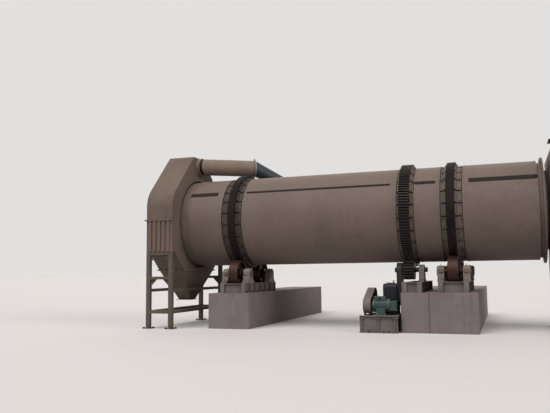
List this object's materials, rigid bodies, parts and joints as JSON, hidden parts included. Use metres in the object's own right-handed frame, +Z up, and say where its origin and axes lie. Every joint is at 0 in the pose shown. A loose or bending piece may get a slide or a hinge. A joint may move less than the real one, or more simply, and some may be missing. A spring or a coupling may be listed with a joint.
{
  "type": "rotary drum dryer",
  "caption": "Inclined jacketed drum on riding rings and rollers, with girth gear drive, discharge hood and hopper, exhaust duct, feed housing, steel frames and concrete piers.",
  "frame": {"origin": "on the floor under the drum's centre line, at the middle of the discharge riding ring", "axes": "+X runs along the drum to the feed end, +Y away from the drive's side, +Z up"},
  "size_m": [10.11, 6.92, 4.36],
  "materials": {
    "jacket_paint": "matt, dusty",
    "shell_paint": "matt, dusty",
    "strip_steel": "dull, dark",
    "flight_steel": "scaled, dusty",
    "ring_steel": "rusted, greasy",
    "chair_steel": "dusty",
    "roller_steel": "worn, brown",
    "bearing_paint": "matt",
    "base_paint": "matt, dusty",
    "concrete": "cast concrete, not plastic",
    "hood_paint": "matt, dusty",
    "frame_paint": "matt, dusty",
    "duct_paint": "matt",
    "bare_steel": "dull",
    "motor_paint": "satin",
    "reducer_paint": "satin, oily",
    "guard_paint": "satin",
    "belt_rubber": "matt"
  },
  "bodies": {
    "frame": {"base_frame_discharge": "base_paint", "base_frame_feed": "base_paint", "base_frame_gear": "base_paint", "bearing_blocks_discharge": "bearing_paint", "bearing_blocks_feed": "bearing_paint", "belt_guard": "guard_paint", "belt_pulleys": "bare_steel", "branch_end": "bare_steel", "branch_flange": "bare_steel", "branch_middle": "bare_steel", "discharge_pier": "concrete", "drive_base": "reducer_paint", "drive_belts": "belt_rubber", "duct_branch": "bare_steel", "duct_collar": "duct_paint", "duct_end": "duct_paint", "duct_sleeve": "bare_steel", "exhaust_duct": "duct_paint", "feed_chute": "hood_paint", "feed_frame": "frame_paint", "feed_housing": "hood_paint", "feed_pier": "concrete", "gas_inlet": "hood_paint", "gear_pier": "concrete", "hood_frame": "frame_paint", "hood_lower": "hood_paint", "hood_upper": "hood_paint", "hopper": "hood_paint", "motor": "motor_paint", "pinion_block": "bearing_paint", "reducer": "reducer_paint"},
    "drum": {"drum_shell": "shell_paint", "lifting_flights": "flight_steel", "jacket_discharge": "jacket_paint", "jacket_middle": "jacket_paint", "jacket_narrow": "jacket_paint", "jacket_feed": "jacket_paint", "jacket_seams": "strip_steel", "seal_band": "shell_paint", "end_flange": "shell_paint", "riding_ring_discharge": "ring_steel", "riding_ring_feed": "ring_steel", "ring_chairs_discharge": "chair_steel", "ring_chairs_feed": "chair_steel", "girth_gear": "ring_steel", "gear_chairs": "chair_steel"},
    "pinion": {"pinion": "ring_steel"},
    "roller_front_discharge": {"roller_front_discharge": "roller_steel"},
    "roller_front_feed": {"roller_front_feed": "roller_steel"},
    "roller_rear_discharge": {"roller_rear_discharge": "roller_steel"},
    "roller_rear_feed": {"roller_rear_feed": "roller_steel"}
  },
  "joints": [
    {"name": "drum_spin", "type": "hinge", "parent": "frame", "child": "drum", "pos_m": [0, 0, 2.62], "axis": [1, 0, 0.0052], "continuous": true},
    {"name": "roller_front_discharge_spin", "type": "hinge", "parent": "frame", "child": "roller_front_discharge", "pos_m": [0.00692, -0.76265, 1.29907], "axis": [1, 0, 0.0052], "continuous": true},
    {"name": "roller_front_feed_spin", "type": "hinge", "parent": "frame", "child": "roller_front_feed", "pos_m": [5.12685, -0.76265, 1.32588], "axis": [1, 0, 0.0052], "continuous": true},
    {"name": "roller_rear_discharge_spin", "type": "hinge", "parent": "frame", "child": "roller_rear_discharge", "pos_m": [0.00692, 0.76265, 1.29907], "axis": [1, 0, 0.0052], "continuous": true},
    {"name": "roller_rear_feed_spin", "type": "hinge", "parent": "frame", "child": "roller_rear_feed", "pos_m": [5.12685, 0.76265, 1.32588], "axis": [1, 0, 0.0052], "continuous": true},
    {"name": "pinion_spin", "type": "hinge", "parent": "frame", "child": "pinion", "pos_m": [4.13164, -0.51696, 1.3621], "axis": [1, 0, 0.0052], "continuous": true}
  ],
  "couplings": [
    {"joint": "roller_front_discharge_spin", "follows": "drum_spin", "ratio": -3.5522},
    {"joint": "roller_front_feed_spin", "follows": "drum_spin", "ratio": -3.5522},
    {"joint": "roller_rear_discharge_spin", "follows": "drum_spin", "ratio": -3.5522},
    {"joint": "roller_rear_feed_spin", "follows": "drum_spin", "ratio": -3.5522},
    {"joint": "pinion_spin", "follows": "drum_spin", "ratio": -5.9}
  ]
}
